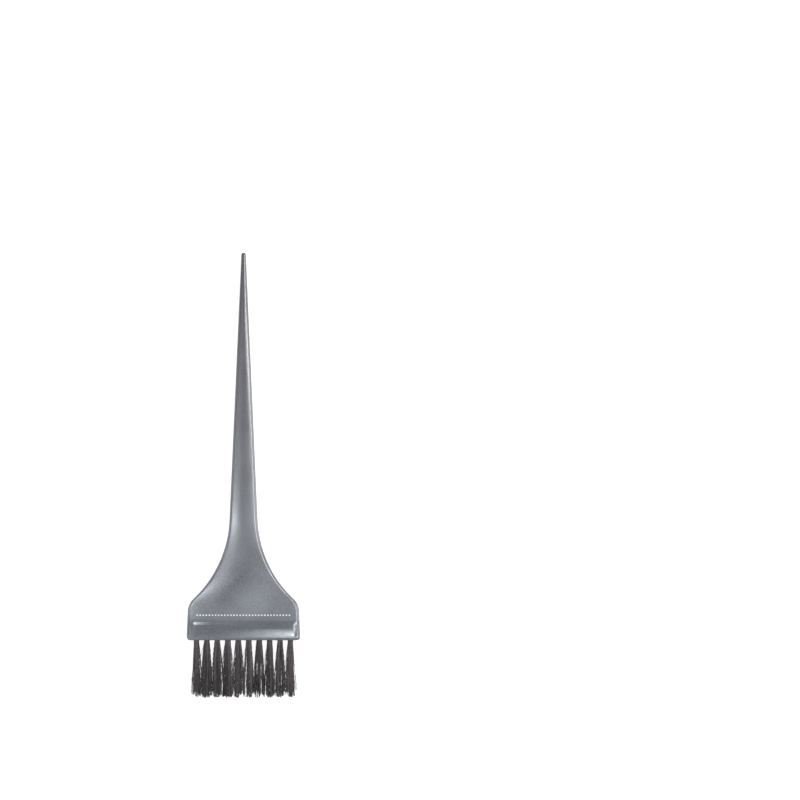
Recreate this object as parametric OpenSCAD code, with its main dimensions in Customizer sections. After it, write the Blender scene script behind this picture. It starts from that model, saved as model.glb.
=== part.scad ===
// Tint brush: a flat moulded handle whose wide head carries one row of nylon tufts.
// It lies on its back. X runs across the head, +Y runs along the handle to the tip of
// its tail, and +Z points out of its front. The origin is on the back, under the middle.

/* [Head] */
// Width of the head where the tufts come out
head_w = 55.4; // [52:0.1:70]
// Thickness of the head
head_t = 7; // [6:0.1:9]
// Length of the head's nearly straight sides
head_side = 14.1; // [12:0.1:20]
// Lean of each side of the head, in degrees
head_draft = 2.2; // [0:0.1:4]
// Rounding of the edges round the tuft face
face_r = 1.7; // [0.5:0.1:1.8]
// Radius of the shoulders, seen from the front
shoulder_r = 9; // [6:0.1:12]

/* [Handle] */
// Length of the handle, from the tuft face to the tip of the tail
handle_l = 189; // [150:0.5:230]
// Distance from the tuft face to the neck, where the flare ends
neck_s = 58.6; // [50:0.1:70]
// Width at the neck
neck_w = 13.7; // [11:0.1:17]
// Thickness at the neck
neck_t = 4.8; // [4:0.1:6]
// Width at the tip of the tail
tip_w = 2.1; // [1.8:0.1:4]
// Thickness at the tip of the tail
tip_t = 2.5; // [2:0.1:3.5]
// Rounding of the long edges
edge_r = 2; // [0.8:0.1:2.2]
// Height that the front's crown rises in the middle
crown = 0.5; // [0.1:0.05:0.6]

/* [Tufts] */
// Distance from one tuft's centre to the next
tuft_pitch = 5.1; // [4.9:0.05:5.4]
// Diameter of a tuft where it leaves the head
tuft_d = 2.9; // [2.4:0.05:3]
// Diameter of a tuft at its spread ends
tuft_tip_d = 4.7; // [3.5:0.05:4.8]
// Length of the bristles outside the head
bristle_l = 28.5; // [20:0.5:36]
// Depth of the hole that holds a tuft
hole_depth = 9.5; // [8:0.1:12]
// Gap between a tuft and the wall of its hole
tuft_fit = 0.05; // [0.02:0.01:0.1]

/* [Anchors] */
// Height of an anchor, along its hole
anchor_h = 1.6; // [1.2:0.1:2]
// Thickness of the flat wire of an anchor
anchor_t = 0.35; // [0.3:0.05:0.5]
// How far each end of an anchor bites into the wall of its hole
anchor_bite = 0.35; // [0.2:0.05:0.5]
// Thickness of the bristles folded round the inner edge of an anchor
fold_t = 0.9; // [0.6:0.1:1.2]
// Gap round an anchor
anchor_fit = 0.02; // [0.01:0.01:0.05]

/* [Bending] */
// Where a tuft's bend is centred, as a share of its free length
bend_share = 0.15; // [0.12:0.01:0.2]
// Gap between a tuft's moving length and its fixed root
bend_gap = 0.3; // [0.25:0.05:0.5]

/* [Hidden] */
TUFTS = 10;
$fn = 48;

// The tuft face's place along Y: the whole brush is centred on the origin
face_y = bristle_l - (handle_l + bristle_l) / 2;
// The tufts stand in the middle of the head's thickness
tuft_z = head_t / 2;
hole_d = tuft_d + 2 * tuft_fit;
bend_s = bend_share * bristle_l;

// Outline of one side as [distance from the tuft face, half width]. A side is a leaning
// line, then a shoulder arc and a flare arc that touch, then the straight taper of the
// tail. The flare's radius follows from the ends of the two lines and the shoulder.
side_end = [head_side, head_w / 2 - head_side * tan(head_draft)];
neck = [neck_s, neck_w / 2];
tail_lean = atan((neck_w - tip_w) / 2 / (handle_l - neck_s));
shoulder_c = side_end - shoulder_r * outward(head_draft);
reach = neck - shoulder_c;
flare_r = (reach * reach - shoulder_r ^ 2) / (2 * (shoulder_r - reach * outward(tail_lean)));
flare_c = neck + flare_r * outward(tail_lean);
turn = atan2(flare_c.x - shoulder_c.x, flare_c.y - shoulder_c.y);
tip_r = min(tip_w, tip_t) * 0.45;

// Steps in the curves of the handle's surface
fillet_steps = 5;
shoulder_steps = 8;
flare_steps = 20;
tail_steps = 6;
corner_steps = 4;
crown_steps = 8;

function outward(lean) = [sin(lean), cos(lean)];
function mix(a, b, u) = a + (b - a) * u;
function smooth(u) = u * u * (3 - 2 * u);

// A station is [distance from the tuft face, half width, inset of all four sides]
function face_station(q) =
    let (s = face_r * (1 - cos(q)), inset = face_r * (1 - sin(q)))
    [s, head_w / 2 - s * tan(head_draft) - inset, inset];
function shoulder_station(lean) = concat(shoulder_c + shoulder_r * outward(lean), [0]);
function flare_station(lean) = concat(flare_c - flare_r * outward(lean), [0]);
function tail_half(s) = neck.y - (s - neck.x) * tan(tail_lean);
function tail_station(s) = [s, tail_half(s), 0];
function tip_station(q) =
    let (s = handle_l - tip_r * (1 - sin(q)), inset = tip_r * (1 - cos(q)))
    [s, tail_half(s) - inset, inset];

stations = concat(
    [for (i = [0:fillet_steps]) face_station(90 * i / fillet_steps)],
    [for (i = [0:shoulder_steps]) shoulder_station(mix(head_draft, turn, i / shoulder_steps))],
    [for (i = [1:flare_steps]) flare_station(mix(turn, tail_lean, i / flare_steps))],
    [for (i = [1:tail_steps - 1]) tail_station(mix(neck_s, handle_l - tip_r, i / tail_steps))],
    [for (i = [0:fillet_steps]) tip_station(84 * i / fillet_steps)]
);

// Thickness at a distance from the tuft face
function thickness(s) =
    s < head_side ? head_t
    : s < neck_s ? mix(head_t, neck_t, smooth((s - head_side) / (neck_s - head_side)))
    : mix(neck_t, tip_t, (s - neck_s) / (handle_l - neck_s));

// Closed section at a station: flat back, rounded edges and a crowned front, which
// leans by lean where it meets the edges
function section(station) =
    let (
        s = station[0],
        half = station[1],
        inset = station[2],
        back = inset,
        front = thickness(s) - inset,
        r = max(min(edge_r, 0.42 * thickness(s), 0.8 * (half + inset)) - inset, 0.1),
        x = half - r,
        rise = crown * thickness(s) / head_t * (front - back) / thickness(s),
        lean = min(atan(2 * rise / x), 20),
        edge_x = x + r * sin(lean),
        drop = tan(lean) / 2 / edge_x,
        top = front - drop * edge_x ^ 2 - r * cos(lean)
    )
    [
        for (i = [0:corner_steps])
            let (q = 90 * i / corner_steps) [x + r * sin(q), s, back + r - r * cos(q)],
        for (i = [0:corner_steps])
            let (q = mix(90, lean, i / corner_steps)) [x + r * sin(q), s, top + r * cos(q)],
        for (i = [1:crown_steps - 1])
            let (u = mix(edge_x, -edge_x, i / crown_steps)) [u, s, front - drop * u ^ 2],
        for (i = [0:corner_steps])
            let (q = mix(lean, 90, i / corner_steps)) [-x - r * sin(q), s, top + r * cos(q)],
        for (i = [0:corner_steps])
            let (q = 90 - 90 * i / corner_steps) [-x - r * sin(q), s, back + r - r * cos(q)]
    ];

// Solid through a list of sections that all have the same number of points
module loft(sections) {
    n = len(sections[0]);
    last = len(sections) - 1;
    start = [for (i = [0:n - 1]) i];
    end = [for (i = [n - 1:-1:0]) last * n + i];
    sides = [
        for (j = [0:last - 1], i = [0:n - 1])
            let (a = j * n + i, b = j * n + (i + 1) % n)
            each [[a, a + n, b + n], [a, b + n, b]]
    ];
    polyhedron(points = [for (ring = sections) each ring], faces = concat([start, end], sides));
}

// Puts its children where tuft number i leaves the head. There -Y is the way that the
// bristles point.
module at_tuft(i) {
    translate([(i - (TUFTS + 1) / 2) * tuft_pitch, face_y, tuft_z]) children();
}

// Cylinder or cone along Y, from y = from down to y = to
module rod_y(from, to, r1, r2) {
    translate([0, from, 0]) rotate([90, 0, 0]) cylinder(h = from - to, r1 = r1, r2 = r2);
}

// Space of an anchor, with a gap all round
module anchor_block(gap) {
    size = [hole_d + 2 * anchor_bite, anchor_h, anchor_t] + 2 * gap * [1, 1, 1];
    translate([0, hole_depth - fold_t - anchor_h / 2, 0]) cube(size, center = true);
}

// Moulded handle and head, with a blind hole for each tuft
module handle() {
    color([0.50, 0.51, 0.54])
    difference() {
        translate([0, face_y, 0]) loft([for (station = stations) section(station)]);
        for (i = [1:TUFTS]) at_tuft(i) {
            rod_y(hole_depth, -1, hole_d / 2, hole_d / 2);
            anchor_block(anchor_fit);
        }
    }
}

// Flat metal anchor that a tuft is folded over and driven in with
module anchor(i) {
    color([0.78, 0.77, 0.74]) at_tuft(i) anchor_block(0);
}

// Fixed length of a tuft: its fold in the hole and the stub up to where it bends
module tuft_root(i) {
    color([0.16, 0.15, 0.17])
    at_tuft(i) difference() {
        rod_y(hole_depth - tuft_fit, bend_gap + tuft_d / 2 - bend_s, tuft_d / 2, tuft_d / 2);
        anchor_block(anchor_fit);
    }
}

// Free length of a tuft: a ball where it bends and a cone that spreads to its end
module tuft(i) {
    color([0.24, 0.23, 0.25])
    at_tuft(i) {
        translate([0, -bend_s, 0]) sphere(d = tuft_d);
        rod_y(-bend_s, -bristle_l, 0.48 * tuft_d, tuft_tip_d / 2);
    }
}

handle();
anchor(1);  // anchor_01
anchor(2);  // anchor_02
anchor(3);  // anchor_03
anchor(4);  // anchor_04
anchor(5);  // anchor_05
anchor(6);  // anchor_06
anchor(7);  // anchor_07
anchor(8);  // anchor_08
anchor(9);  // anchor_09
anchor(10);  // anchor_10
tuft_root(1);  // tuft_root_01
tuft_root(2);  // tuft_root_02
tuft_root(3);  // tuft_root_03
tuft_root(4);  // tuft_root_04
tuft_root(5);  // tuft_root_05
tuft_root(6);  // tuft_root_06
tuft_root(7);  // tuft_root_07
tuft_root(8);  // tuft_root_08
tuft_root(9);  // tuft_root_09
tuft_root(10);  // tuft_root_10
tuft(1);  // tuft_01
tuft(2);  // tuft_02
tuft(3);  // tuft_03
tuft(4);  // tuft_04
tuft(5);  // tuft_05
tuft(6);  // tuft_06
tuft(7);  // tuft_07
tuft(8);  // tuft_08
tuft(9);  // tuft_09
tuft(10);  // tuft_10
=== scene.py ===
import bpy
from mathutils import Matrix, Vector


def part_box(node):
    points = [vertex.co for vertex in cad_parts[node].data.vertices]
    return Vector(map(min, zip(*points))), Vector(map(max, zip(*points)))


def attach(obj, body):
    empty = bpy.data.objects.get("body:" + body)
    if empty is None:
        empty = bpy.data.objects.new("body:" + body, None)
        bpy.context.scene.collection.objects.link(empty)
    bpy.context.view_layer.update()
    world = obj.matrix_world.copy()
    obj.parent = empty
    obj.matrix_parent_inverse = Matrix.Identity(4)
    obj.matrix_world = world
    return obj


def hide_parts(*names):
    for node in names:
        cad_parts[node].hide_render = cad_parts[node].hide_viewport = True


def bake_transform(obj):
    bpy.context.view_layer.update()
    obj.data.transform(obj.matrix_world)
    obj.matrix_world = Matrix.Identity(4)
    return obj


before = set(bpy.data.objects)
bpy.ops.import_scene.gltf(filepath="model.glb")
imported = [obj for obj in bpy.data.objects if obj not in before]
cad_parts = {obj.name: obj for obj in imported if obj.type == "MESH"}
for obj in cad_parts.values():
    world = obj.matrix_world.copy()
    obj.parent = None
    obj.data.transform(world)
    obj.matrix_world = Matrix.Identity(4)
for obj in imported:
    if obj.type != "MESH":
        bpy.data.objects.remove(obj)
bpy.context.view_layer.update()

import math
import random

import bpy
import numpy as np
from mathutils import Vector

# All shapes are worked out in millimetres in the row frame and become metres in new_mesh().
MM = 0.001

# ---------------------------------------------------------------- sizes from the frame


def box_mm(node):
    """Lowest and highest corners of a CAD node at rest."""
    low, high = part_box(node)
    return np.array(low) / MM, np.array(high) / MM


TUFTS = 10
HANDLE_LOW, HANDLE_HIGH = box_mm("handle")
TUFT_LOW = box_mm("tuft_01")[0]
ROOT_LOW, ROOT_HIGH = box_mm("tuft_root_01")
ANCHOR_LOW, ANCHOR_HIGH = box_mm("anchor_01")

FACE_Y = HANDLE_LOW[1]
HANDLE_L = HANDLE_HIGH[1] - FACE_Y
HEAD_T = HANDLE_HIGH[2]
TUFT_Z = HEAD_T / 2
BRISTLE_L = FACE_Y - TUFT_LOW[1]
TUFT_R = (ROOT_HIGH[0] - ROOT_LOW[0]) / 2
TUFT_X = [sum(corner[0] for corner in box_mm(f"tuft_{i + 1:02d}")) / 2 for i in range(TUFTS)]

# ---------------------------------------------------------------- the handle's own sizes

HEAD_SIDE = 14.1
HEAD_DRAFT = math.radians(2.2)
FACE_R = 1.7
HEAD_HALF = HANDLE_HIGH[0] + FACE_R * math.tan(HEAD_DRAFT)
SHOULDER_R = 9.0
NECK_S = 58.6
NECK_HALF = 13.7 / 2
NECK_T = 4.8
TIP_HALF = 2.1 / 2
TIP_T = 2.5
EDGE_R = 2.0
CROWN = 0.5

# The polished band that crosses the front of the head, as distances from the tuft face
BAND_START = 2.0
BAND_END = 9.5
BAND_INSET = 0.3
BAND_RISE = 0.28
BAND_SIDE_R = 2.4
BAND_LOW_R = 4.6
BAND_TOP_R = 2.1
SINK_DEPTH = 0.008
SINK_S = 4.2
SINK_WIDE = 1.15
SINK_LONG = 1.5

# The plain front lies a little below the band: its rise next to the band, and where it ends
LIP_SHARE = 0.4
LIP_S = 6.0
DISH_START = 16.0
DISH_S = 12.0

# The front rim is rounder across than down, as shares of the corner radius
RIM_WIDE = 0.9
RIM_HIGH = 0.6

# Corner radii take at most these shares of a section's thickness and half width, and the
# tip's round takes its share of the tip's smaller side
THICK_SHARE = 0.42
HALF_SHARE = 0.8
TIP_ROUND = 0.45
LEAST_R = 0.1

TUFT_FIT = 0.05
HOLE_R = TUFT_R + TUFT_FIT
HOLE_DEPTH = ROOT_HIGH[1] - FACE_Y + TUFT_FIT

# The plain row of printed dots across the head
DOTS = 31
DOT_PITCH = 1.5
DOT_R = 0.42
DOT_TOP_SHARE = 0.94
DOTS_S = 12.4
INK_T = 0.02


def mix(a, b, u):
    return a + (b - a) * u


def smooth(u):
    """A soft step from 0 to 1."""
    u = min(max(u, 0.0), 1.0)
    return u * u * (3 - 2 * u)


def along(s):
    """Y in metres of a place at a distance s in millimetres from the tuft face."""
    return (FACE_Y + s) * MM


# ---------------------------------------------------------------- mesh helpers


def new_mesh(name, points, faces, flat=False):
    """A mesh object from points in millimetres and faces of any length."""
    mesh = bpy.data.meshes.new(name)
    mesh.from_pydata((np.asarray(points, float) * MM).tolist(), [], faces)
    mesh.validate()
    if not flat:
        mesh.shade_smooth()
    obj = bpy.data.objects.new(name, mesh)
    bpy.context.scene.collection.objects.link(obj)
    return obj


# ---------------------------------------------------------------- handle


def outward(lean):
    """Direction that leans off the X axis towards the tail: [distance, half width]."""
    return np.array([math.sin(lean), math.cos(lean)])


# How finely the handle's length is cut: round steps, spacings in millimetres, degrees per step
FACE_STEPS = 10
FACE_STEP_DEG = 9
BAND_SPACING = 0.17
SIDE_SPACING = 0.45
AFTER_BAND = 0.12
BEFORE_SHOULDER = 0.2
SHOULDER_STEPS = 24
FLARE_STEPS = 70
TAIL_STEPS = 60
TIP_STEPS = 10
TIP_STEP_DEG = 8.6


class Outline:
    """One side of the handle: line, shoulder arc, flare arc that touches it, taper."""

    def __init__(self):
        side_end = np.array([HEAD_SIDE, HEAD_HALF - HEAD_SIDE * math.tan(HEAD_DRAFT)])
        neck = np.array([NECK_S, NECK_HALF])
        self.tail_lean = math.atan((NECK_HALF - TIP_HALF) / (HANDLE_L - NECK_S))
        self.shoulder_c = side_end - SHOULDER_R * outward(HEAD_DRAFT)
        reach = neck - self.shoulder_c
        self.flare_r = (reach @ reach - SHOULDER_R**2) / (
            2 * (SHOULDER_R - reach @ outward(self.tail_lean))
        )
        self.flare_c = neck + self.flare_r * outward(self.tail_lean)
        self.turn = math.atan2(*(self.flare_c - self.shoulder_c))
        self.tip_r = min(2 * TIP_HALF, TIP_T) * TIP_ROUND

    def tail_half(self, s):
        return NECK_HALF - (s - NECK_S) * math.tan(self.tail_lean)

    def stations(self):
        """[distance from the tuft face, half width, inset] from the head to the tip."""
        rows = []
        for i in range(FACE_STEPS + 1):
            q = math.radians(FACE_STEP_DEG * i)
            s, inset = FACE_R * (1 - math.cos(q)), FACE_R * (1 - math.sin(q))
            rows.append([s, HEAD_HALF - s * math.tan(HEAD_DRAFT) - inset, inset])
        straight = sorted({BAND_START, BAND_END, *np.arange(BAND_START, BAND_END, BAND_SPACING)})
        above_band = BAND_END + AFTER_BAND, HEAD_SIDE - BEFORE_SHOULDER
        straight += list(np.arange(*above_band, SIDE_SPACING))
        rows += [[s, HEAD_HALF - s * math.tan(HEAD_DRAFT), 0.0] for s in straight]
        for i in range(SHOULDER_STEPS + 1):
            lean = mix(HEAD_DRAFT, self.turn, i / SHOULDER_STEPS)
            rows.append([*(self.shoulder_c + SHOULDER_R * outward(lean)), 0.0])
        for i in range(1, FLARE_STEPS + 1):
            lean = mix(self.turn, self.tail_lean, i / FLARE_STEPS)
            rows.append([*(self.flare_c - self.flare_r * outward(lean)), 0.0])
        for i in range(1, TAIL_STEPS):
            s = mix(NECK_S, HANDLE_L - self.tip_r, i / TAIL_STEPS)
            rows.append([s, self.tail_half(s), 0.0])
        for i in range(TIP_STEPS + 1):
            q = math.radians(TIP_STEP_DEG * i)
            s, inset = HANDLE_L - self.tip_r * (1 - math.sin(q)), self.tip_r * (1 - math.cos(q))
            rows.append([s, self.tail_half(s) - inset, inset])
        return rows


def thickness(s):
    """Full thickness of the handle at a distance s from the tuft face."""
    if s < HEAD_SIDE:
        return HEAD_T
    if s < NECK_S:
        return mix(HEAD_T, NECK_T, smooth((s - HEAD_SIDE) / (NECK_S - HEAD_SIDE)))
    return mix(NECK_T, TIP_T, (s - NECK_S) / (HANDLE_L - NECK_S))


def roll(distance, reach):
    """Slope share of a rounded border, from 1 at the border to 0 at reach inside it."""
    return 1 - min(max(distance / reach, 0.0), 1.0)


def band_relief(s, x, edge_x):
    """Height of the raised polished band on the head's front, and its sink marks."""
    side = edge_x - BAND_INSET - abs(x)
    if not BAND_START <= s <= BAND_END or side <= 0:
        return 0.0
    side_roll = roll(side, BAND_SIDE_R)
    rise = (1 - side_roll**2) * (1 - roll(s - BAND_START, BAND_LOW_R) ** 2)
    rise *= smooth((BAND_END - s) / BAND_TOP_R)
    sink = sum(
        math.exp(-(((x - tuft_x) / SINK_WIDE) ** 2) - ((s - SINK_S) / SINK_LONG) ** 2)
        for tuft_x in TUFT_X
    )
    return BAND_RISE * rise - SINK_DEPTH * sink * (1 - side_roll)


def front_drop(s):
    """How far the head's plain front lies below the top of its band: a shallow dish."""
    near_band = 1 - smooth((BAND_END - s) / BAND_TOP_R) - smooth((s - BAND_END) / LIP_S)
    return BAND_RISE * (1 - LIP_SHARE * near_band) * (1 - smooth((s - DISH_START) / DISH_S))


def crown_drop(u):
    """Share of the crown's height lost at a share u of the way out to the edge."""
    return u**2


# Slope of crown_drop() at the edge, and the steepest that the crown may reach the rim
CROWN_SLOPE = 2
CROWN_LEAN = math.radians(20)

FRONT_COLUMNS = 120
COLUMN_CROWDING = 0.5
BACK_COLUMNS = 16
CORNER_STEPS = 9


def front_shape(s, half, inset):
    """Of one section: corner radius, front height, where the rim starts, edge and rise."""
    thick = thickness(s)
    front = thick - inset - front_drop(s)
    r = max(min(EDGE_R, THICK_SHARE * thick, HALF_SHARE * (half + inset)) - inset, LEAST_R)
    wide = RIM_WIDE * r
    rise = CROWN * (front - inset) / HEAD_T
    lean = min(math.atan(CROWN_SLOPE * rise / (half - wide)), CROWN_LEAN)
    start = math.atan(RIM_WIDE / RIM_HIGH * math.tan(lean))
    edge_x = half - wide + wide * math.sin(start)
    return r, front, start, edge_x, math.tan(lean) * edge_x / CROWN_SLOPE


def section(s, half, inset):
    """Points of one closed section, counted anticlockwise from the back's right edge."""
    r, front, start, edge_x, rise = front_shape(s, half, inset)
    x = half - r
    wide, high = RIM_WIDE * r, RIM_HIGH * r
    rim_x = half - wide
    top = front - rise - high * math.cos(start)
    y = FACE_Y + s
    ring = []
    for i in range(CORNER_STEPS + 1):
        q = math.pi / 2 * i / CORNER_STEPS
        ring.append([x + r * math.sin(q), y, inset + r - r * math.cos(q)])
    for i in range(1, CORNER_STEPS + 1):
        q = mix(math.pi / 2, start, i / CORNER_STEPS)
        ring.append([rim_x + wide * math.sin(q), y, top + high * math.cos(q)])
    for i in range(1, FRONT_COLUMNS):
        u = 1 - 2 * i / FRONT_COLUMNS
        u = mix(u, (3 * u - u**3) / 2, COLUMN_CROWDING)
        px = edge_x * u
        ring.append([px, y, front - rise * crown_drop(u) + band_relief(s, px, edge_x)])
    for i in range(CORNER_STEPS + 1):
        q = mix(start, math.pi / 2, i / CORNER_STEPS)
        ring.append([-rim_x - wide * math.sin(q), y, top + high * math.cos(q)])
    for i in range(1, CORNER_STEPS + 1):
        q = math.pi / 2 * (1 - i / CORNER_STEPS)
        ring.append([-x - r * math.sin(q), y, inset + r - r * math.cos(q)])
    for i in range(1, BACK_COLUMNS):
        ring.append([mix(-x, x, i / BACK_COLUMNS), y, inset])
    return ring


def front_height(s, x):
    """Height of the plain front of the head at a distance s from the tuft face."""
    _, front, _, edge_x, rise = front_shape(s, HEAD_HALF - s * math.tan(HEAD_DRAFT), 0.0)
    return front - rise * crown_drop(abs(x) / edge_x)


def make_handle():
    """The handle as one closed shell with its ten holes."""
    outline = Outline()
    rings = [section(*row) for row in outline.stations()]
    n = len(rings[0])
    points = [point for ring in rings for point in ring]
    faces = []
    for j in range(len(rings) - 1):
        for i in range(n):
            a, b = j * n + i, j * n + (i + 1) % n
            faces.append([a, a + n, b + n, b])
    faces.append(list(range(n)))
    faces.append(list(range((len(rings) - 1) * n, len(rings) * n))[::-1])
    obj = new_mesh("handle_shell", points, faces)
    obj.data.materials.append(pearl_plastic())
    drill(obj)
    return obj


HOLE_SIDES = 40
DRILL_START = 1.0


def drill(obj):
    """Cuts the ten blind holes into the tuft face."""
    points, faces = [], []
    for tuft_x in TUFT_X:
        base = len(points)
        for y in (FACE_Y - DRILL_START, FACE_Y + HOLE_DEPTH):
            for i in range(HOLE_SIDES):
                q = 2 * math.pi * i / HOLE_SIDES
                points.append([tuft_x + HOLE_R * math.cos(q), y, TUFT_Z + HOLE_R * math.sin(q)])
        for i in range(HOLE_SIDES):
            k = (i + 1) % HOLE_SIDES
            faces.append([base + HOLE_SIDES + i, base + HOLE_SIDES + k, base + k, base + i])
        faces.append([base + i for i in range(HOLE_SIDES)])
        faces.append([base + HOLE_SIDES + i for i in range(HOLE_SIDES)][::-1])
    cutter = new_mesh("cutter", points, faces, flat=True)
    modifier = obj.modifiers.new("holes", "BOOLEAN")
    modifier.operation = "DIFFERENCE"
    modifier.object = cutter
    modifier.solver = "MANIFOLD"
    graph = bpy.context.evaluated_depsgraph_get()
    cut = bpy.data.meshes.new_from_object(obj.evaluated_get(graph))
    obj.modifiers.clear()
    obj.data = cut
    bpy.data.objects.remove(cutter)


DOT_SIDES = 20


def make_print():
    """A plain row of round printed dots across the head, sunk a little into the front."""
    points, faces = [], []
    for k in range(DOTS):
        middle_x = (k - (DOTS - 1) / 2) * DOT_PITCH
        base = len(points)
        for r, lift in ((DOT_R, -INK_T), (DOT_R * DOT_TOP_SHARE, INK_T)):
            for i in range(DOT_SIDES):
                q = 2 * math.pi * i / DOT_SIDES
                x, s = middle_x + r * math.cos(q), DOTS_S + r * math.sin(q)
                points.append([x, FACE_Y + s, front_height(s, x) + lift])
        for i in range(DOT_SIDES):
            j = (i + 1) % DOT_SIDES
            faces.append([base + i, base + j, base + DOT_SIDES + j, base + DOT_SIDES + i])
        faces.append([base + DOT_SIDES + i for i in range(DOT_SIDES)])
        faces.append([base + i for i in range(DOT_SIDES)][::-1])
    obj = new_mesh("print_dots", points, faces, flat=True)
    obj.data.materials.append(ink_material())
    return obj


# ---------------------------------------------------------------- tufts

SEED = 4100
PAIRS = 78
SPARE_PAIRS = 4
STRAND_R = 0.1
SIDES = 5
LEG_RINGS = 86
CLUMPS = 18
GOLDEN = math.pi * (3 - math.sqrt(5))

# How far a tuft's ends spread to either side: past the next tuft's, but hardly outwards
SPREAD_IN = 3.1
SPREAD_OUT = 1.15
SPREAD_Z = 2.3
OPEN_Z = 1.6
Z_LIMIT = 2.75

# Clumps: how evenly they sit, how soon they part, and how far their ends fall short
CLUMP_TURN = (-0.3, 0.3)
CLUMP_JITTER_X = 0.3
CLUMP_JITTER_Z = 0.4
CLUMP_RATE = (0.8, 1.2)
TUFT_RATE = (1.0, 2.3)
TUFT_NOTCH = (0, 1.6)
SHORT_CLUMP = (0.9, 2.9)
LONG_CLUMP = (0, 0.6)
LONG_CHANCE = 0.5

# Single bristles: how far they keep to their clump, and how their ends differ
KEEP_APART = 0.6
END_JITTER = 0.16
END_TRIM = 0.1
SHORT_JITTER = 0.6
LOOSE_CHANCE = 0.14
LOOSE_JITTER = 0.9
LOOSE_RATE = (0.6, 1.3)
LOOSE_SHORT = (0.5, 3.0)
STRAY_FROM = 0.5
STRAY_CHANCE = 0.5
STRAY_OUT = (0.6, 2.4)
STRAY_RATE = (0.45, 0.7)
WORN_CHANCE = 0.06
WORN_SHORT = (0.5, 4.5)
FAR_JITTER = 0.03

# The crimp, which grows over the first millimetres, and a slow sway
CRIMP_START = 3.0
CRIMP_WAVE = (2.4, 3.4)
CRIMP_HEIGHT = (0.03, 0.11)
CRIMP_JITTER = 0.8
SWAY_WAVE = (11, 17)
SWAY_HEIGHT = 0.17
SWAY_JITTER = 0.6

# The fold in the hole: where the legs start to close in, where they have, and the way round
ANCHOR_INNER = ANCHOR_HIGH[1] - FACE_Y
ANCHOR_HALF_T = (ANCHOR_HIGH[2] - ANCHOR_LOW[2]) / 2
FOLD_START = 3.0
FOLD_NARROW = 6.0
FOLD_SIDE_GAP = 0.03
FOLD_END_GAP = 0.02
FOLD_DEPTH = 0.55
FOLD_STEPS = 6

# Bristles differ in tone by clump and singly; painted light makes them a little lighter at the root, and
# painted shade darker towards the tips
CLUMP_TONE = 0.6
TONE_POWER = 1.5
PAINTED_LIGHT_ROOT = 0.15
PAINTED_SHADE_TIP = -0.12

# Each end is thinner: the last ring and the one before it
END_TAPER = 0.55
NEAR_END_TAPER = 0.9


def leg(rng, root, clump):
    """Centre line of one bristle from the face to its end: [x, distance, z]."""
    tip = [
        clump["tip"][k] + KEEP_APART * (root[k] - clump["root"][k]) + rng.gauss(0, END_JITTER)
        for k in (0, 1)
    ]
    rate = clump["rate"]
    short = clump["short"] + abs(rng.gauss(0, SHORT_JITTER))
    if rng.random() < LOOSE_CHANCE:
        tip[0] += rng.gauss(0, LOOSE_JITTER)
        rate *= rng.uniform(*LOOSE_RATE)
        short += rng.uniform(*LOOSE_SHORT)
    if clump["stray"] and rng.random() < STRAY_CHANCE:
        tip[0] += clump["stray"] * rng.uniform(*STRAY_OUT)
        rate = rng.uniform(*STRAY_RATE)
    tip[1] = max(-Z_LIMIT, min(Z_LIMIT, tip[1]))
    if rng.random() < WORN_CHANCE:
        short += rng.uniform(*WORN_SHORT)
    wave = rng.uniform(*CRIMP_WAVE)
    height = rng.uniform(*CRIMP_HEIGHT)
    turn = rng.uniform(0, math.pi)
    phase = clump["phase"] + rng.gauss(0, CRIMP_JITTER)
    drift = [rng.gauss(0, SWAY_HEIGHT), rng.gauss(0, SWAY_HEIGHT)]
    long_wave = rng.uniform(*SWAY_WAVE)
    long_phase = clump["sway"] + rng.gauss(0, SWAY_JITTER)
    s = np.linspace(0, BRISTLE_L - END_TRIM - short, LEG_RINGS)
    u = s / BRISTLE_L
    open_up = 1 - (1 - u) ** rate
    grow = np.clip(s / CRIMP_START, 0, 1)
    grow = grow * grow * (3 - 2 * grow)
    crimp = height * grow * np.sin(2 * math.pi * s / wave + phase)
    sway = u * (np.sin(2 * math.pi * s / long_wave + long_phase) - math.sin(long_phase))
    x = root[0] + (tip[0] - root[0]) * open_up + crimp * math.cos(turn) + drift[0] * sway
    z = root[1] + (tip[1] - root[1]) * open_up + crimp * math.sin(turn) + drift[1] * sway
    return np.stack([x, s, z], axis=1)


def round_pattern(i, count, turn):
    """Place number i of count in an even round pattern of dots that fills the hole."""
    r = (TUFT_R - STRAND_R) * math.sqrt((i + 0.5) / count)
    q = i * GOLDEN + turn
    return [r * math.cos(q), r * math.sin(q)]


def make_clumps(rng, index):
    """Bristles cling together in a few clumps that part towards their ends."""
    spread = {-1: SPREAD_IN, 1: SPREAD_IN}
    outer = {0: -1, TUFTS - 1: 1}.get(index, 0)
    if outer:
        spread[outer] = SPREAD_OUT
    rate = {side: rng.uniform(*TUFT_RATE) for side in (-1, 1)}
    notch = {side: rng.uniform(*TUFT_NOTCH) for side in (-1, 1)}
    clumps = []
    for i in range(CLUMPS):
        root = round_pattern(i, CLUMPS, rng.uniform(*CLUMP_TURN))
        side = 1 if root[0] > 0 else -1
        out = abs(root[0]) / TUFT_R
        tip = [
            side * out * spread[side] + rng.gauss(0, CLUMP_JITTER_X),
            root[1] * OPEN_Z + rng.gauss(0, CLUMP_JITTER_Z),
        ]
        tip[1] = max(-SPREAD_Z, min(SPREAD_Z, tip[1]))
        short = rng.uniform(*(LONG_CLUMP if rng.random() < LONG_CHANCE else SHORT_CLUMP))
        clumps.append({
            "root": root,
            "tip": tip,
            "rate": rate[side] * rng.uniform(*CLUMP_RATE),
            "short": short + notch[side] * out**2,
            "phase": rng.uniform(0, 2 * math.pi),
            "sway": rng.uniform(0, 2 * math.pi),
            "stray": outer if side == outer and out > STRAY_FROM else 0,
            "shade": rng.random(),
        })
    return clumps


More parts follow.
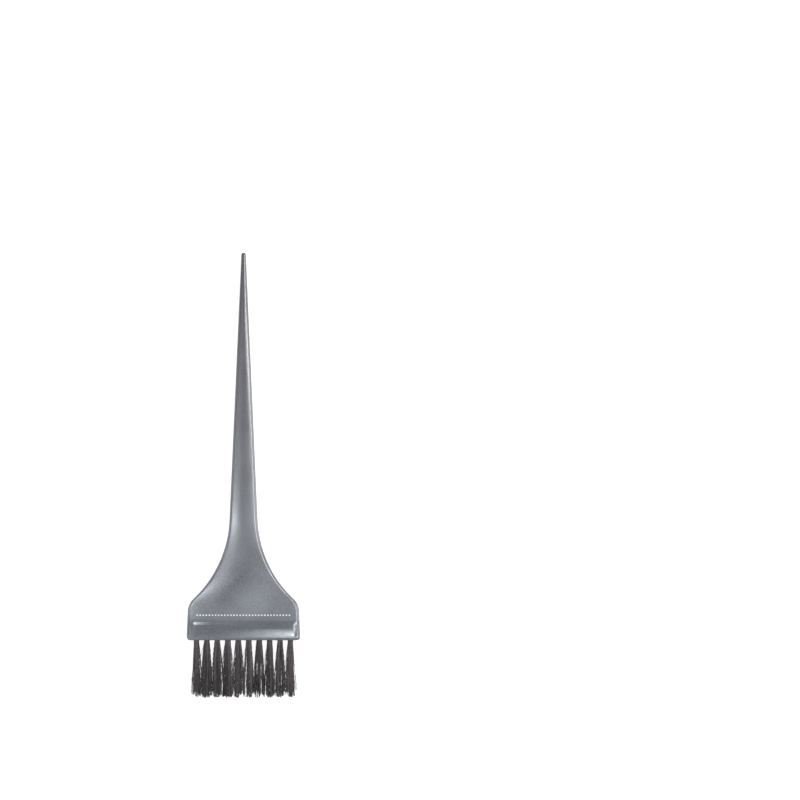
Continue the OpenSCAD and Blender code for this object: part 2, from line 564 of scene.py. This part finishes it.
def nearest(clumps, root):
    return min(clumps, key=lambda clump: math.dist(clump["root"], root))


def fold(root_a, root_b):
    """The part in the hole: in along one leg, round the anchor and out along the other."""
    clear = ANCHOR_HALF_T + STRAND_R + FOLD_SIDE_GAP

    def pushed(z):
        return math.copysign(clear + abs(z) * (TUFT_R - STRAND_R - clear) / TUFT_R, z)

    z_a, z_b = pushed(root_a[1]), pushed(root_b[1])
    centre, half = (z_a + z_b) / 2, (z_a - z_b) / 2
    deep = ANCHOR_INNER + FOLD_END_GAP
    line = [
        [root_a[0], -FOLD_START, mix(root_a[1], z_a, 0.5)],
        [root_a[0], -FOLD_NARROW, z_a],
    ]
    for i in range(FOLD_STEPS + 1):
        q = math.pi * i / FOLD_STEPS
        x = mix(root_a[0], root_b[0], i / FOLD_STEPS)
        y = -deep - FOLD_DEPTH * abs(half) * math.sin(q)
        line.append([x, y, centre + half * math.cos(q)])
    line.append([root_b[0], -FOLD_NARROW, z_b])
    line.append([root_b[0], -FOLD_START, mix(root_b[1], z_b, 0.5)])
    return np.array(line)


def tube(line, radii):
    """Points of a tube round a centre line; its rings stand square to the line."""
    ahead = np.gradient(line, axis=0)
    ahead /= np.linalg.norm(ahead, axis=1)[:, None]
    side = np.array([1.0, 0.0, 0.0]) - ahead[:, :1] * ahead
    side /= np.linalg.norm(side, axis=1)[:, None]
    up = np.cross(ahead, side)
    q = 2 * math.pi * np.arange(SIDES) / SIDES
    ring = np.cos(q)[None, :, None] * side[:, None, :] + np.sin(q)[None, :, None] * up[:, None, :]
    return line[:, None, :] + radii[:, None, None] * ring


def tuft_roots(index):
    """Places of the front legs in the face: one half of a round pattern of dots."""
    count = 2 * (PAIRS + SPARE_PAIRS)
    places = [round_pattern(i, count, index) for i in range(count)]
    return [[x, z] for x, z in places if z > 0][:PAIRS]


def make_tuft(index):
    """One tuft of folded bristles, with a tone for each bristle in its strand attribute, painted lighter
    at the root and darker towards the tips.
    """
    rng = random.Random(SEED + index)
    clumps = make_clumps(rng, index)
    points, faces, shade = [], [], []
    for root in tuft_roots(index):
        far = [root[0] + rng.gauss(0, FAR_JITTER), -root[1]]
        inward = min((TUFT_R - STRAND_R) / math.hypot(*far), 1.0)
        far = [inward * value for value in far]
        near_clump, far_clump = nearest(clumps, root), nearest(clumps, far)
        out = leg(rng, root, near_clump)
        back = leg(rng, far, far_clump)
        line = np.concatenate([out[::-1], fold(root, far), back])
        line[:, 1] *= -1
        radii = np.full(len(line), STRAND_R)
        radii[[0, -1]] *= END_TAPER
        radii[[1, -2]] *= NEAR_END_TAPER
        rings = tube(line, radii)
        base = sum(len(p) for p in points)
        points.append(rings.reshape(-1, 3))
        count = len(line)
        for j in range(count - 1):
            for i in range(SIDES):
                a, b = base + j * SIDES + i, base + j * SIDES + (i + 1) % SIDES
                faces.append((a, b, b + SIDES, a + SIDES))
        faces.append(tuple(base + i for i in range(SIDES))[::-1])
        faces.append(tuple(base + (count - 1) * SIDES + i for i in range(SIDES)))
        tones = [mix(rng.random(), c["shade"], CLUMP_TONE) ** TONE_POWER for c in (near_clump, far_clump)]
        tone = np.repeat(tones, [len(out), count - len(out)])
        # Painted light at the root and painted shade towards the tips, added to each bristle's tone
        tone += mix(PAINTED_LIGHT_ROOT, PAINTED_SHADE_TIP, np.clip(-line[:, 1] / BRISTLE_L, 0, 1))
        shade.append(np.repeat(tone, SIDES))
    cloud = np.concatenate(points) + [TUFT_X[index], FACE_Y, TUFT_Z]
    obj = new_mesh(f"tuft_{index + 1:02d}_bristles", cloud, faces)
    strand = obj.data.attributes.new("strand", "FLOAT", "POINT")
    strand.data.foreach_set("value", np.concatenate(shade).astype(np.float32))
    obj.data.materials.append(bristle_material())
    return obj


# ---------------------------------------------------------------- materials


def new_material(name):
    """A material with just a Principled shader, and its node tree."""
    found = bpy.data.materials.get(name)
    if found:
        return found, None, None
    made = bpy.data.materials.new(name)
    made.use_nodes = True
    shader = made.node_tree.nodes["Principled BSDF"]
    return made, made.node_tree, shader


def noise(tree, where, scale, detail=2.0, rough=0.5):
    node = tree.nodes.new("ShaderNodeTexNoise")
    node.inputs["Scale"].default_value = scale
    node.inputs["Detail"].default_value = detail
    node.inputs["Roughness"].default_value = rough
    tree.links.new(where, node.inputs["Vector"])
    return node.outputs["Fac"]


def stretch(tree, value, low, high):
    """Spreads the values between low and high over 0 to 1 and cuts off the rest."""
    node = tree.nodes.new("ShaderNodeMapRange")
    node.inputs["From Min"].default_value = low
    node.inputs["From Max"].default_value = high
    tree.links.new(value, node.inputs["Value"])
    return node.outputs["Result"]


def blend(tree, a, b, share):
    """Mixes two numbers, with a share of b."""
    node = tree.nodes.new("ShaderNodeMix")
    node.inputs["Factor"].default_value = share
    tree.links.new(a, node.inputs["A"])
    tree.links.new(b, node.inputs["B"])
    return node.outputs["Result"]


def ramp(tree, value, low, high):
    """Maps 0 to 1 onto low to high, which may be numbers or colours."""
    if isinstance(low, (int, float)):
        node = tree.nodes.new("ShaderNodeMapRange")
        node.inputs["To Min"].default_value = low
        node.inputs["To Max"].default_value = high
        tree.links.new(value, node.inputs["Value"])
        return node.outputs["Result"]
    node = tree.nodes.new("ShaderNodeMix")
    node.data_type = "RGBA"
    node.inputs["A"].default_value = (*low, 1)
    node.inputs["B"].default_value = (*high, 1)
    tree.links.new(value, node.inputs["Factor"])
    return node.outputs["Result"]


def ramp_between(tree, value, low, high):
    """Mixes two colour outputs by a value."""
    node = tree.nodes.new("ShaderNodeMix")
    node.data_type = "RGBA"
    tree.links.new(value, node.inputs["Factor"])
    tree.links.new(low, node.inputs["A"])
    tree.links.new(high, node.inputs["B"])
    return node.outputs["Result"]


def object_coords(tree):
    return tree.nodes.new("ShaderNodeTexCoord").outputs["Object"]


def maths(tree, operation, a, b=0.0):
    """One arithmetic step on numbers or outputs."""
    node = tree.nodes.new("ShaderNodeMath")
    node.operation = operation
    for socket, value in zip(node.inputs, (a, b)):
        if isinstance(value, (int, float)):
            socket.default_value = value
        else:
            tree.links.new(value, socket)
    return node.outputs[0]


# Painted reflection: soft light and dark bands in the colour run across the head, standing in for
# reflections of the studio light: direction, spacing, shift in metres
PAINTED_REFLECTION_ACROSS = (0.792, -0.611)
PAINTED_REFLECTION_STEP = 0.028
PAINTED_REFLECTION_SHIFT = 0.0211
PAINTED_REFLECTION_WANDER = 1.6
PAINTED_REFLECTION_SHARE = 0.24

# Along the handle in millimetres: the painted reflection bands fade out, and so does most of the sparkle
PAINTED_REFLECTION_FULL_S = 26
PAINTED_REFLECTION_END_S = 78
SPARKLE_FULL_S = 30
SPARKLE_END_S = 50

# The polish ends this far out across the head, and over this length round the band's end
POLISH_FULL_X = 25.5
POLISH_END_X = 25.9
POLISH_BEFORE = 0.2
POLISH_AFTER = 0.8

# Painted shade: the band and the front just above it are darker in colour, standing in for the dark
# reflection in the polish; how its edges fade, and by how much
PAINTED_SHADE_LOW_OUT = 1.2
PAINTED_SHADE_LOW_IN = 1.5
PAINTED_SHADE_TOP_IN = 3
PAINTED_SHADE_TOP_OUT = 4
PAINTED_SHADE_TONE = 0.77


def painted_reflection_bands(tree, where, y):
    """Painted reflection: broad diagonal light and dark bands, from -1 to 1, fading out along the handle.
    """
    turn = 2 * math.pi / PAINTED_REFLECTION_STEP
    dot = tree.nodes.new("ShaderNodeVectorMath")
    dot.operation = "DOT_PRODUCT"
    dot.inputs[1].default_value = (turn * PAINTED_REFLECTION_ACROSS[0], turn * PAINTED_REFLECTION_ACROSS[1], 0)
    tree.links.new(where, dot.inputs[0])
    shift = turn * (PAINTED_REFLECTION_SHIFT - PAINTED_REFLECTION_ACROSS[1] * FACE_Y * MM)
    phase = maths(tree, "ADD", dot.outputs["Value"], shift)
    wander = maths(tree, "MULTIPLY", noise(tree, where, 28, 1.0, 0.5), PAINTED_REFLECTION_WANDER)
    wander = maths(tree, "SUBTRACT", wander, PAINTED_REFLECTION_WANDER / 2)
    wave = maths(tree, "COSINE", maths(tree, "ADD", phase, wander))
    fade = stretch(tree, y, along(PAINTED_REFLECTION_END_S), along(PAINTED_REFLECTION_FULL_S))
    return maths(tree, "MULTIPLY", maths(tree, "MULTIPLY", wave, -1.0), fade)


def pearl_plastic():
    """Pearl grey moulded plastic: fine flakes, satin with a polished band; painted reflection bands
    across the head, painted shade over the band and towards the tip.
    """
    made, tree, shader = new_material("pearl_plastic")
    if tree is None:
        return made
    where = object_coords(tree)
    split = tree.nodes.new("ShaderNodeSeparateXYZ")
    tree.links.new(where, split.inputs["Vector"])
    y = split.outputs["Y"]
    near_band = stretch(tree, y, along(BAND_END + PAINTED_SHADE_TOP_OUT), along(BAND_END - PAINTED_SHADE_TOP_IN))
    satin = maths(tree, "SUBTRACT", 1.0, near_band)
    out = maths(tree, "ABSOLUTE", split.outputs["X"])
    inside = stretch(tree, out, POLISH_END_X * MM, POLISH_FULL_X * MM)
    gloss = stretch(tree, y, along(BAND_END + POLISH_AFTER), along(BAND_END - POLISH_BEFORE))
    polish = maths(tree, "MULTIPLY", gloss, inside)
    above = stretch(tree, y, along(BAND_START - PAINTED_SHADE_LOW_OUT), along(BAND_START + PAINTED_SHADE_LOW_IN))
    painted_shade = maths(tree, "MULTIPLY", near_band, above)
    flakes = stretch(tree, noise(tree, where, 1050, 3.0, 0.75), 0.3, 0.7)
    clouds = stretch(tree, noise(tree, where, 85, 3.0, 0.5), 0.3, 0.7)
    grain = maths(tree, "SUBTRACT", blend(tree, flakes, clouds, 0.25), 0.5)
    near_head = stretch(tree, y, along(SPARKLE_END_S), along(SPARKLE_FULL_S))
    grain = maths(tree, "MULTIPLY", grain, ramp(tree, near_head, 0.3, 0.62))
    # Painted reflection: light and dark bands added to the tone of the front outside the band
    painted_reflection = maths(tree, "MULTIPLY", painted_reflection_bands(tree, where, y), PAINTED_REFLECTION_SHARE)
    painted_reflection = maths(tree, "MULTIPLY", painted_reflection, satin)
    tone = maths(tree, "ADD", maths(tree, "ADD", grain, painted_reflection), 0.5)
    # Painted shade: the plastic's colour darkens from the head to the tip, standing in for the light
    # falling off along the tail
    painted_shade_to_tip = stretch(tree, y, along(0), along(HANDLE_L))
    dark = ramp(tree, painted_shade_to_tip, (0.160, 0.176, 0.194), (0.109, 0.111, 0.120))
    light = ramp(tree, painted_shade_to_tip, (0.373, 0.411, 0.452), (0.249, 0.255, 0.274))
    colour = ramp_between(tree, tone, dark, light)
    # Painted shade: the colour is scaled down over the band and just above it
    deep = tree.nodes.new("ShaderNodeVectorMath")
    deep.operation = "SCALE"
    tree.links.new(colour, deep.inputs[0])
    tree.links.new(ramp(tree, painted_shade, 1.0, PAINTED_SHADE_TONE), deep.inputs["Scale"])
    tree.links.new(deep.outputs["Vector"], shader.inputs["Base Color"])
    rough = ramp(tree, clouds, 0.19, 0.25)
    rough = maths(tree, "SUBTRACT", rough, maths(tree, "MULTIPLY", polish, 0.1))
    tree.links.new(rough, shader.inputs["Roughness"])
    shader.inputs["Metallic"].default_value = 0.25
    shader.inputs["IOR"].default_value = 1.5
    bump = tree.nodes.new("ShaderNodeBump")
    bump.inputs["Strength"].default_value = 0.1
    bump.inputs["Distance"].default_value = 0.00002
    tree.links.new(noise(tree, where, 1900, 3.0, 0.7), bump.inputs["Height"])
    tree.links.new(bump.outputs["Normal"], shader.inputs["Normal"])
    return made


def ink_material():
    """Pale matt ink."""
    made, tree, shader = new_material("pale_ink")
    if tree is None:
        return made
    where = object_coords(tree)
    grain = noise(tree, where, 3000, 2.0, 0.6)
    colour = ramp(tree, grain, (0.74, 0.78, 0.82), (0.9, 0.93, 0.96))
    tree.links.new(colour, shader.inputs["Base Color"])
    tree.links.new(ramp(tree, grain, 0.35, 0.55), shader.inputs["Roughness"])
    return made


def bristle_material():
    """Black nylon: each bristle a little lighter, browner or duller than the next, with painted light at
    the root and painted shade towards the tips from its strand tone.
    """
    made, tree, shader = new_material("black_nylon")
    if tree is None:
        return made
    strand = tree.nodes.new("ShaderNodeAttribute")
    strand.attribute_name = "strand"
    streak = stretch(tree, noise(tree, object_coords(tree), 900, 2.0, 0.5), 0.3, 0.7)
    tone = blend(tree, strand.outputs["Fac"], streak, 0.25)
    colour = ramp(tree, tone, (0.002, 0.0015, 0.003), (0.17, 0.152, 0.167))
    tree.links.new(colour, shader.inputs["Base Color"])
    tree.links.new(ramp(tree, strand.outputs["Fac"], 0.42, 0.26), shader.inputs["Roughness"])
    shader.inputs["IOR"].default_value = 1.53
    return made


def anchor_material():
    """Flat tinned wire, drawn lengthways."""
    made, tree, shader = new_material("tinned_wire")
    if tree is None:
        return made
    drawn = tree.nodes.new("ShaderNodeMapping")
    drawn.inputs["Scale"].default_value = (0.05, 1, 1)
    tree.links.new(object_coords(tree), drawn.inputs["Vector"])
    lines = noise(tree, drawn.outputs["Vector"], 9000, 2.0, 0.6)
    colour = ramp(tree, lines, (0.5, 0.49, 0.46), (0.7, 0.69, 0.66))
    tree.links.new(colour, shader.inputs["Base Color"])
    tree.links.new(ramp(tree, lines, 0.25, 0.4), shader.inputs["Roughness"])
    shader.inputs["Metallic"].default_value = 1.0
    return made


def floor_material():
    """A pale floor that glows a little, so that it stays even and near white."""
    made, tree, shader = new_material("pale_floor")
    if tree is None:
        return made
    grain = noise(tree, object_coords(tree), 300, 3.0, 0.5)
    colour = ramp(tree, grain, (0.38, 0.38, 0.38), (0.42, 0.42, 0.42))
    tree.links.new(colour, shader.inputs["Base Color"])
    shader.inputs["Roughness"].default_value = 0.9
    shader.inputs["Specular IOR Level"].default_value = 0.1
    shader.inputs["Emission Color"].default_value = (1, 1, 1, 1)
    shader.inputs["Emission Strength"].default_value = 0.92
    return made


# ---------------------------------------------------------------- the object

handle = make_handle()
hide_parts("handle")
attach(handle, "handle")

dots = make_print()
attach(dots, "handle")

for index in range(TUFTS):
    number = f"{index + 1:02d}"
    tuft = make_tuft(index)
    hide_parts(f"tuft_{number}", f"tuft_root_{number}")
    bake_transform(tuft)
    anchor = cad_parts[f"anchor_{number}"]
    anchor.data.materials.clear()
    anchor.data.materials.append(anchor_material())

# ---------------------------------------------------------------- floor, light, camera

# The floor's half width in millimetres, and how far in metres it lies below the back
FLOOR_HALF = 3000
FLOOR_DROP = 0.00005


def area_light(name, place, size, radiance, aim=None, colour=(1, 1, 1)):
    """A soft box that faces down, or towards aim, in metres; radiance is its brightness."""
    data = bpy.data.lights.new(name, "AREA")
    data.shape = "RECTANGLE"
    data.size, data.size_y = size
    data.energy = radiance * math.pi * size[0] * size[1]
    data.color = colour
    obj = bpy.data.objects.new(name, data)
    bpy.context.scene.collection.objects.link(obj)
    obj.location = place
    if aim:
        obj.rotation_euler = (Vector(aim) - Vector(place)).to_track_quat("-Z", "Y").to_euler()
    obj.visible_camera = False
    return obj


def make_floor():
    """A large flat floor just below the brush's back."""
    corners = [[x * FLOOR_HALF, y * FLOOR_HALF, 0] for x, y in ((-1, -1), (1, -1), (1, 1), (-1, 1))]
    obj = new_mesh("floor", corners, [[0, 1, 2, 3]], flat=True)
    obj.location.z = -FLOOR_DROP
    obj.data.materials.append(floor_material())
    return obj


# The world's strength at the horizon and high up, what the camera sees on top of it, and the
# heights between which it fades
WORLD_LOW = 0.95
WORLD_HIGH = 0.25
WORLD_SEEN = 19.0
FADE_START = -0.1
FADE_END = 0.85


def make_world():
    """Dim light all round, brightest at the horizon; seen by the camera it is near white."""
    world = bpy.data.worlds.new("studio")
    world.use_nodes = True
    tree = world.node_tree
    split = tree.nodes.new("ShaderNodeSeparateXYZ")
    coords = tree.nodes.new("ShaderNodeTexCoord")
    tree.links.new(coords.outputs["Generated"], split.inputs["Vector"])
    fade = tree.nodes.new("ShaderNodeMapRange")
    fade.interpolation_type = "SMOOTHSTEP"
    fade.inputs["From Min"].default_value = FADE_START
    fade.inputs["From Max"].default_value = FADE_END
    fade.inputs["To Min"].default_value = WORLD_LOW
    fade.inputs["To Max"].default_value = WORLD_HIGH
    tree.links.new(split.outputs["Z"], fade.inputs["Value"])
    ray = tree.nodes.new("ShaderNodeLightPath")
    seen = maths(tree, "MULTIPLY", ray.outputs["Is Camera Ray"], WORLD_SEEN)
    background = tree.nodes["Background"]
    background.inputs["Color"].default_value = (0.05, 0.05, 0.05, 1)
    tree.links.new(maths(tree, "ADD", fade.outputs["Result"], seen), background.inputs["Strength"])
    bpy.context.scene.world = world


make_floor()
make_world()

# Soft boxes 1 m up, a panel at the lower left, a wall on each side and one small low spot
area_light("panel_low_left", (-0.35, -0.45, 0.5), (0.5, 0.5), 1.0, aim=(0, -0.07, 0))
area_light("box_left", (-0.31, -0.05, 1.0), (0.3, 0.5), 0.7)
area_light("box_low_middle", (-0.015, -0.32, 1.0), (0.07, 0.14), 1.4)
area_light("box_low_mid_right", (0.05, -0.32, 1.0), (0.06, 0.14), 4.6)
area_light("box_low_right", (0.32, -0.325, 1.0), (0.48, 0.13), 13)
area_light("box_low_haze", (0.14, -0.225, 1.0), (0.28, 0.07), 2.4)
area_light("box_corner_right", (0.28, -0.22, 1.0), (0.12, 0.08), 10)
area_light("box_right_low", (0.425, -0.2, 1.0), (0.13, 0.12), 10)
area_light("box_right", (0.425, -0.09, 1.0), (0.13, 0.1), 5)
area_light("box_top_right", (0.435, 0.2, 1.0), (0.25, 0.5), 11, colour=(1, 0.955, 0.95))
area_light("wall_right", (1.1, 0.1, 0.35), (0.5, 1.2), 3.0, aim=(0, 0.05, 0), colour=(1, 0.93, 0.94))
area_light("wall_left", (-1.1, 0.1, 0.35), (0.5, 1.2), 0.9, aim=(0, 0.05, 0), colour=(1, 0.96, 1))
area_light("spot_left", (-0.105, -0.0315, 0.257), (0.11, 0.034), 8)

# The camera looks straight down with a long lens, and the brush lies to the lower left
VIEW_WIDTH = 0.3894
VIEW_X = 0.0763
VIEW_Y = 0.0369
LENS = 200
SENSOR = 36

camera_data = bpy.data.cameras.new("camera")
camera_data.lens = LENS
camera_data.sensor_width = SENSOR
camera_data.clip_end = 20
camera = bpy.data.objects.new("camera", camera_data)
bpy.context.scene.collection.objects.link(camera)
camera.location = (VIEW_X, VIEW_Y, VIEW_WIDTH * LENS / SENSOR + HEAD_T * MM)
bpy.context.scene.camera = camera

bpy.context.scene.view_settings.view_transform = "Standard"
